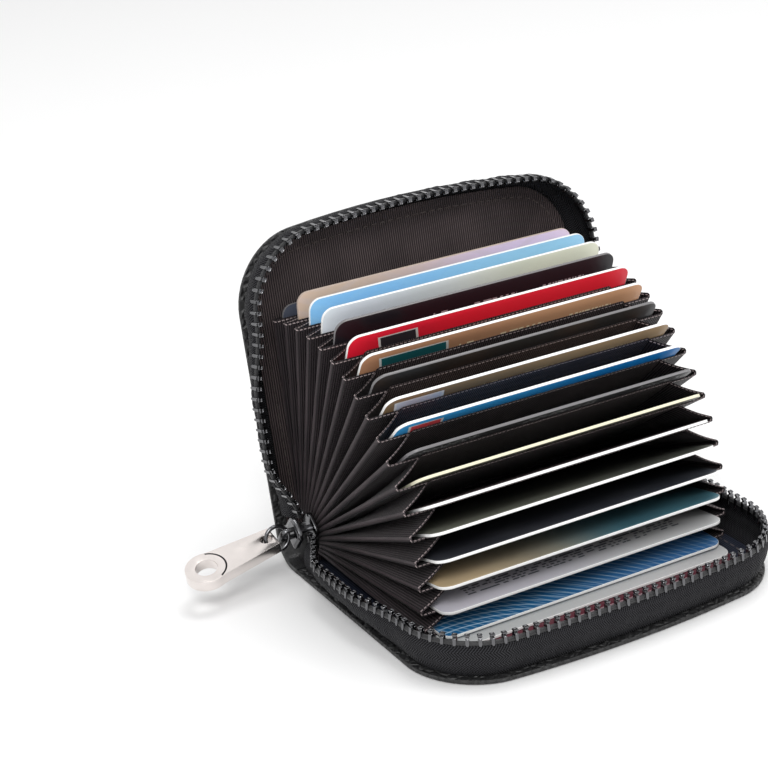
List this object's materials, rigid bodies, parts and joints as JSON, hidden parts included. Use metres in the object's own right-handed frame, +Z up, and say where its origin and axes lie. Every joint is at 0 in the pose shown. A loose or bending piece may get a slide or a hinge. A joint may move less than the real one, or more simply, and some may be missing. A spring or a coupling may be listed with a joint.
{
  "type": "card wallet",
  "caption": "Zip-around card wallet with pleated accordion pockets between two leather covers, a slip pocket, removable cards and a zip pull tab.",
  "frame": {"origin": "middle of the underside of the lower cover, which lies flat", "axes": "+X along the spine, away from the end with the slider; +Y from the mouth to the spine; +Z up"},
  "size_m": [0.1392, 0.1082, 0.0932],
  "materials": {
    "leather": "pebbled, satin",
    "board": "matt pressed fibre board",
    "lining": "ribbed nylon, slight sheen",
    "tape": "woven herringbone, matt",
    "teeth": "glossy",
    "gunmetal": "polished dark nickel",
    "card_01_blue_lined": "smooth printed card",
    "card_02_grey_text": "smooth printed card",
    "card_03_teal": "smooth printed card",
    "card_04_white_edge": "smooth printed card",
    "card_05_dark_green": "smooth printed card",
    "card_06_white": "smooth printed card",
    "card_07_cream_green": "smooth printed card",
    "card_08_black_gloss": "smooth printed card",
    "card_09_blue": "smooth printed card",
    "card_10_olive": "smooth printed card",
    "card_11_black_matt": "smooth printed card",
    "card_12_bronze": "smooth printed card",
    "card_13_red": "smooth printed card",
    "card_14_black_plain": "smooth printed card",
    "card_15_pale_green": "smooth printed card",
    "card_16_light_blue": "smooth printed card",
    "card_17_lilac": "smooth printed card",
    "card_18_navy": "smooth printed card",
    "slip_card_1_maroon": "smooth printed card",
    "slip_card_2_grey": "smooth printed card"
  },
  "bodies": {
    "lower_cover": {"lower_cover_leather": "leather", "lower_cover_board": "board", "lower_cover_lining": "lining", "lower_zip_tape": "tape", "lower_zip_teeth": "teeth", "slip_pocket_panel": "lining", "spine_leather": "leather", "near_gusset": "lining", "far_gusset": "lining"},
    "upper_cover": {"upper_cover_leather": "leather", "upper_cover_board": "board", "upper_cover_lining": "lining", "upper_zip_tape": "tape", "upper_zip_teeth": "teeth"},
    "leaf_01": {"pocket_leaf_01": "lining"},
    "leaf_02": {"pocket_leaf_02": "lining"},
    "leaf_03": {"pocket_leaf_03": "lining"},
    "leaf_04": {"pocket_leaf_04": "lining"},
    "leaf_05": {"pocket_leaf_05": "lining"},
    "leaf_06": {"pocket_leaf_06": "lining"},
    "leaf_07": {"pocket_leaf_07": "lining"},
    "leaf_08": {"pocket_leaf_08": "lining"},
    "leaf_09": {"pocket_leaf_09": "lining"},
    "leaf_10": {"pocket_leaf_10": "lining"},
    "leaf_11": {"pocket_leaf_11": "lining"},
    "leaf_12": {"pocket_leaf_12": "lining"},
    "leaf_13": {"pocket_leaf_13": "lining"},
    "leaf_14": {"pocket_leaf_14": "lining"},
    "leaf_15": {"pocket_leaf_15": "lining"},
    "leaf_16": {"pocket_leaf_16": "lining"},
    "leaf_17": {"pocket_leaf_17": "lining"},
    "card_01": {"card_01_blue_lined": "card_01_blue_lined"},
    "card_02": {"card_02_grey_text": "card_02_grey_text"},
    "card_03": {"card_03_teal": "card_03_teal"},
    "card_04": {"card_04_white_edge": "card_04_white_edge"},
    "card_05": {"card_05_dark_green": "card_05_dark_green"},
    "card_06": {"card_06_white": "card_06_white"},
    "card_07": {"card_07_cream_green": "card_07_cream_green"},
    "card_08": {"card_08_black_gloss": "card_08_black_gloss"},
    "card_09": {"card_09_blue": "card_09_blue"},
    "card_10": {"card_10_olive": "card_10_olive"},
    "card_11": {"card_11_black_matt": "card_11_black_matt"},
    "card_12": {"card_12_bronze": "card_12_bronze"},
    "card_13": {"card_13_red": "card_13_red"},
    "card_14": {"card_14_black_plain": "card_14_black_plain"},
    "card_15": {"card_15_pale_green": "card_15_pale_green"},
    "card_16": {"card_16_light_blue": "card_16_light_blue"},
    "card_17": {"card_17_lilac": "card_17_lilac"},
    "card_18": {"card_18_navy": "card_18_navy"},
    "slip_card_1": {"slip_card_1_maroon": "slip_card_1_maroon"},
    "slip_card_2": {"slip_card_2_grey": "slip_card_2_grey"},
    "slider": {"zip_slider": "gunmetal"},
    "link": {"pull_link": "gunmetal"},
    "tab": {"pull_tab": "gunmetal"}
  },
  "joints": [
    {"name": "cover_hinge", "type": "hinge", "parent": "lower_cover", "child": "upper_cover", "pos_m": [0, 0.0365, 0.014], "axis": [-1, 0, 0], "range_deg": [-100, 0], "deforming": ["spine_leather", "near_gusset", "far_gusset"]},
    {"name": "leaf_01_hinge", "type": "hinge", "parent": "lower_cover", "child": "leaf_01", "pos_m": [0, 0.0365, 0.014], "axis": [-1, 0, 0], "range_deg": [-5.57, 0]},
    {"name": "leaf_02_hinge", "type": "hinge", "parent": "lower_cover", "child": "leaf_02", "pos_m": [0, 0.0365, 0.014], "axis": [-1, 0, 0], "range_deg": [-11.12, 0]},
    {"name": "leaf_03_hinge", "type": "hinge", "parent": "lower_cover", "child": "leaf_03", "pos_m": [0, 0.0365, 0.014], "axis": [-1, 0, 0], "range_deg": [-16.68, 0]},
    {"name": "leaf_04_hinge", "type": "hinge", "parent": "lower_cover", "child": "leaf_04", "pos_m": [0, 0.0365, 0.014], "axis": [-1, 0, 0], "range_deg": [-22.23, 0]},
    {"name": "leaf_05_hinge", "type": "hinge", "parent": "lower_cover", "child": "leaf_05", "pos_m": [0, 0.0365, 0.014], "axis": [-1, 0, 0], "range_deg": [-27.79, 0]},
    {"name": "leaf_06_hinge", "type": "hinge", "parent": "lower_cover", "child": "leaf_06", "pos_m": [0, 0.0365, 0.014], "axis": [-1, 0, 0], "range_deg": [-33.34, 0]},
    {"name": "leaf_07_hinge", "type": "hinge", "parent": "lower_cover", "child": "leaf_07", "pos_m": [0, 0.0365, 0.014], "axis": [-1, 0, 0], "range_deg": [-38.9, 0]},
    {"name": "leaf_08_hinge", "type": "hinge", "parent": "lower_cover", "child": "leaf_08", "pos_m": [0, 0.0365, 0.014], "axis": [-1, 0, 0], "range_deg": [-44.45, 0]},
    {"name": "leaf_09_hinge", "type": "hinge", "parent": "lower_cover", "child": "leaf_09", "pos_m": [0, 0.0365, 0.014], "axis": [-1, 0, 0], "range_deg": [-50.01, 0]},
    {"name": "leaf_10_hinge", "type": "hinge", "parent": "lower_cover", "child": "leaf_10", "pos_m": [0, 0.0365, 0.014], "axis": [-1, 0, 0], "range_deg": [-55.57, 0]},
    {"name": "leaf_11_hinge", "type": "hinge", "parent": "lower_cover", "child": "leaf_11", "pos_m": [0, 0.0365, 0.014], "axis": [-1, 0, 0], "range_deg": [-61.12, 0]},
    {"name": "leaf_12_hinge", "type": "hinge", "parent": "lower_cover", "child": "leaf_12", "pos_m": [0, 0.0365, 0.014], "axis": [-1, 0, 0], "range_deg": [-66.68, 0]},
    {"name": "leaf_13_hinge", "type": "hinge", "parent": "lower_cover", "child": "leaf_13", "pos_m": [0, 0.0365, 0.014], "axis": [-1, 0, 0], "range_deg": [-72.23, 0]},
    {"name": "leaf_14_hinge", "type": "hinge", "parent": "lower_cover", "child": "leaf_14", "pos_m": [0, 0.0365, 0.014], "axis": [-1, 0, 0], "range_deg": [-77.79, 0]},
    {"name": "leaf_15_hinge", "type": "hinge", "parent": "lower_cover", "child": "leaf_15", "pos_m": [0, 0.0365, 0.014], "axis": [-1, 0, 0], "range_deg": [-83.34, 0]},
    {"name": "leaf_16_hinge", "type": "hinge", "parent": "lower_cover", "child": "leaf_16", "pos_m": [0, 0.0365, 0.014], "axis": [-1, 0, 0], "range_deg": [-88.9, 0]},
    {"name": "leaf_17_hinge", "type": "hinge", "parent": "lower_cover", "child": "leaf_17", "pos_m": [0, 0.0365, 0.014], "axis": [-1, 0, 0], "range_deg": [-94.45, 0]},
    {"name": "slider_turn", "type": "hinge", "parent": "lower_cover", "child": "slider", "pos_m": [0, 0.0365, 0.014], "axis": [-1, 0, 0], "range_deg": [-50.01, 0]},
    {"name": "card_01_slide", "type": "slide", "parent": "lower_cover", "child": "card_01", "axis": [0, -1, 0], "range_m": [0, 0.009]},
    {"name": "card_02_slide", "type": "slide", "parent": "leaf_01", "child": "card_02", "axis": [0, -0.9953, 0.0968], "range_m": [0, 0.006]},
    {"name": "card_03_slide", "type": "slide", "parent": "leaf_02", "child": "card_03", "axis": [0, -0.9813, 0.1927], "range_m": [0, 0.04]},
    {"name": "card_04_slide", "type": "slide", "parent": "leaf_03", "child": "card_04", "axis": [0, -0.958, 0.2868], "range_m": [0, 0.04]},
    {"name": "card_05_slide", "type": "slide", "parent": "leaf_04", "child": "card_05", "axis": [0, -0.9257, 0.3782], "range_m": [0, 0.04]},
    {"name": "card_06_slide", "type": "slide", "parent": "leaf_05", "child": "card_06", "axis": [0, -0.8848, 0.466], "range_m": [0, 0.04]},
    {"name": "card_07_slide", "type": "slide", "parent": "leaf_06", "child": "card_07", "axis": [0, -0.8355, 0.5495], "range_m": [0, 0.04]},
    {"name": "card_08_slide", "type": "slide", "parent": "leaf_07", "child": "card_08", "axis": [0, -0.7784, 0.6278], "range_m": [0, 0.04]},
    {"name": "card_09_slide", "type": "slide", "parent": "leaf_08", "child": "card_09", "axis": [0, -0.7139, 0.7002], "range_m": [0, 0.04]},
    {"name": "card_10_slide", "type": "slide", "parent": "leaf_09", "child": "card_10", "axis": [0, -0.6428, 0.766], "range_m": [0, 0.04]},
    {"name": "card_11_slide", "type": "slide", "parent": "leaf_10", "child": "card_11", "axis": [0, -0.5656, 0.8247], "range_m": [0, 0.04]},
    {"name": "card_12_slide", "type": "slide", "parent": "leaf_11", "child": "card_12", "axis": [0, -0.4831, 0.8756], "range_m": [0, 0.04]},
    {"name": "card_13_slide", "type": "slide", "parent": "leaf_12", "child": "card_13", "axis": [0, -0.3961, 0.9182], "range_m": [0, 0.04]},
    {"name": "card_14_slide", "type": "slide", "parent": "leaf_13", "child": "card_14", "axis": [0, -0.3053, 0.9522], "range_m": [0, 0.04]},
    {"name": "card_15_slide", "type": "slide", "parent": "leaf_14", "child": "card_15", "axis": [0, -0.2117, 0.9773], "range_m": [0, 0.04]},
    {"name": "card_16_slide", "type": "slide", "parent": "leaf_15", "child": "card_16", "axis": [0, -0.1161, 0.9932], "range_m": [0, 0.04]},
    {"name": "card_17_slide", "type": "slide", "parent": "leaf_16", "child": "card_17", "axis": [0, -0.0194, 0.9998], "range_m": [0, 0.04]},
    {"name": "card_18_slide", "type": "slide", "parent": "leaf_17", "child": "card_18", "axis": [0, 0.0775, 0.997], "range_m": [0, 0.005]},
    {"name": "slip_card_1_slide", "type": "slide", "parent": "lower_cover", "child": "slip_card_1", "axis": [0, -1, 0], "range_m": [0, 0.0035]},
    {"name": "slip_card_2_slide", "type": "slide", "parent": "lower_cover", "child": "slip_card_2", "axis": [0, -1, 0], "range_m": [0, 0.005]},
    {"name": "link_swing", "type": "hinge", "parent": "slider", "child": "link", "pos_m": [-0.05705, 0.03707, 0.01332], "axis": [0.0322, 0.9799, -0.1967], "range_deg": [-12, 50]},
    {"name": "tab_swing", "type": "hinge", "parent": "link", "child": "tab", "pos_m": [-0.06159, 0.03707, 0.01258], "axis": [-0.1578, -0.2164, 0.9635], "range_deg": [-20, 20]}
  ],
  "couplings": [
    {"joint": "leaf_01_hinge", "follows": "cover_hinge", "ratio": 0.055556},
    {"joint": "leaf_02_hinge", "follows": "cover_hinge", "ratio": 0.11111},
    {"joint": "leaf_03_hinge", "follows": "cover_hinge", "ratio": 0.16667},
    {"joint": "leaf_04_hinge", "follows": "cover_hinge", "ratio": 0.22222},
    {"joint": "leaf_05_hinge", "follows": "cover_hinge", "ratio": 0.27778},
    {"joint": "leaf_06_hinge", "follows": "cover_hinge", "ratio": 0.33333},
    {"joint": "leaf_07_hinge", "follows": "cover_hinge", "ratio": 0.38889},
    {"joint": "leaf_08_hinge", "follows": "cover_hinge", "ratio": 0.44444},
    {"joint": "leaf_09_hinge", "follows": "cover_hinge", "ratio": 0.5},
    {"joint": "leaf_10_hinge", "follows": "cover_hinge", "ratio": 0.55556},
    {"joint": "leaf_11_hinge", "follows": "cover_hinge", "ratio": 0.61111},
    {"joint": "leaf_12_hinge", "follows": "cover_hinge", "ratio": 0.66667},
    {"joint": "leaf_13_hinge", "follows": "cover_hinge", "ratio": 0.72222},
    {"joint": "leaf_14_hinge", "follows": "cover_hinge", "ratio": 0.77778},
    {"joint": "leaf_15_hinge", "follows": "cover_hinge", "ratio": 0.83333},
    {"joint": "leaf_16_hinge", "follows": "cover_hinge", "ratio": 0.88889},
    {"joint": "leaf_17_hinge", "follows": "cover_hinge", "ratio": 0.94444},
    {"joint": "slider_turn", "follows": "cover_hinge", "ratio": 0.5}
  ]
}
